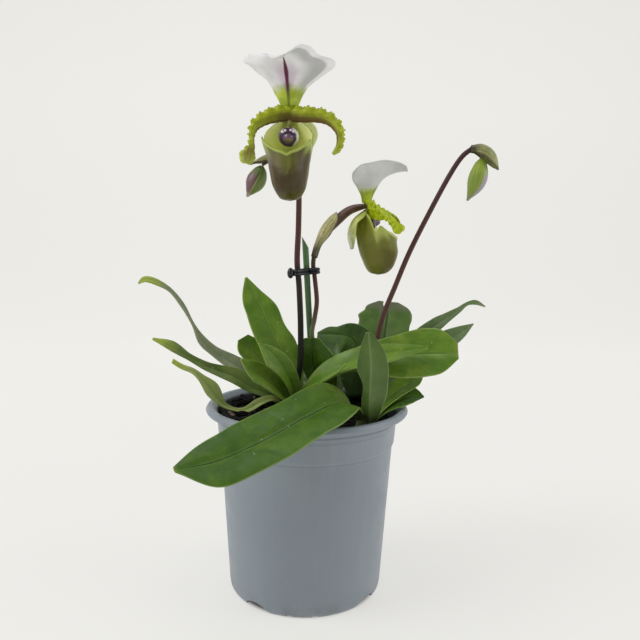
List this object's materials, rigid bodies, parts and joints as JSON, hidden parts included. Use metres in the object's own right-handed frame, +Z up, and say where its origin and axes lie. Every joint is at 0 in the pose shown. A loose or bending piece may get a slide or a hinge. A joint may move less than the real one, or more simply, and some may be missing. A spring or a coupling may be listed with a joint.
{
  "type": "paphiopedilum orchid",
  "caption": "Slipper orchid with strap leaves, open pouched flowers and closed buds on tall stalks, tied to a cane in a plastic nursery pot, for indoor and florist scenes.",
  "frame": {"origin": "centre of the pot's flat base, on the ground", "axes": "+Z up along the stalks, -Y towards the front of the main flower"},
  "size_m": [0.2177, 0.1813, 0.3029],
  "materials": {
    "pot": "satin grey moulded plastic",
    "bark": "dark, matt, coarse bark mix",
    "leaf": "semi-gloss green leaf",
    "stalk": "satin red-brown stalk",
    "cane": "satin green stain",
    "clip": "smooth blue-black plastic",
    "bract": "satin olive bract",
    "bud": "satin green and purple-brown bud",
    "dorsal_sepal": "soft white with a green foot and purple midline",
    "lower_sepal": "soft pale green",
    "petal": "lime green with a crisped upper margin",
    "column": "glossy violet and brown shield",
    "slipper": "glossy olive brown"
  },
  "bodies": {
    "root": {"pot": "pot", "soil": "bark", "crown_left": "leaf", "crown_middle": "leaf", "crown_right": "leaf", "crown_front": "leaf", "leaf_tall": "leaf", "leaf_tall_behind": "leaf", "leaf_left_front": "leaf", "leaf_left_narrow": "leaf", "leaf_left_long": "leaf", "leaf_left_drooping": "leaf", "leaf_centre_narrow": "leaf", "leaf_centre_long": "leaf", "leaf_big_right": "leaf", "leaf_curl": "leaf", "leaf_middle_upright": "leaf", "leaf_middle_back": "leaf", "leaf_right_broad": "leaf", "leaf_right_thin": "leaf", "leaf_right_short": "leaf", "leaf_front_upright": "leaf", "leaf_right_low": "leaf", "leaf_right_lowest": "leaf", "leaf_front_large": "leaf", "leaf_back_left": "leaf", "leaf_back_right": "leaf", "leaf_back_far_right": "leaf", "leaf_back_upright": "leaf", "scape_main": "stalk", "scape_side": "stalk", "scape_bud": "stalk", "cane": "cane", "clip": "clip", "ovary_main": "stalk", "ovary_side": "stalk", "ovary_bud_main": "stalk", "ovary_bud_top": "stalk", "bract_main": "bract", "bract_side": "bract", "bract_top": "bract", "bud_main": "bud", "bud_top": "bud", "dorsal_sepal_main": "dorsal_sepal", "lower_sepal_main": "lower_sepal", "petal_left_main": "petal", "petal_right_main": "petal", "column_main": "column", "slipper_main": "slipper", "dorsal_sepal_side": "dorsal_sepal", "lower_sepal_side": "lower_sepal", "petal_left_side": "petal", "petal_right_side": "petal", "column_side": "column", "slipper_side": "slipper"}
  },
  "joints": []
}
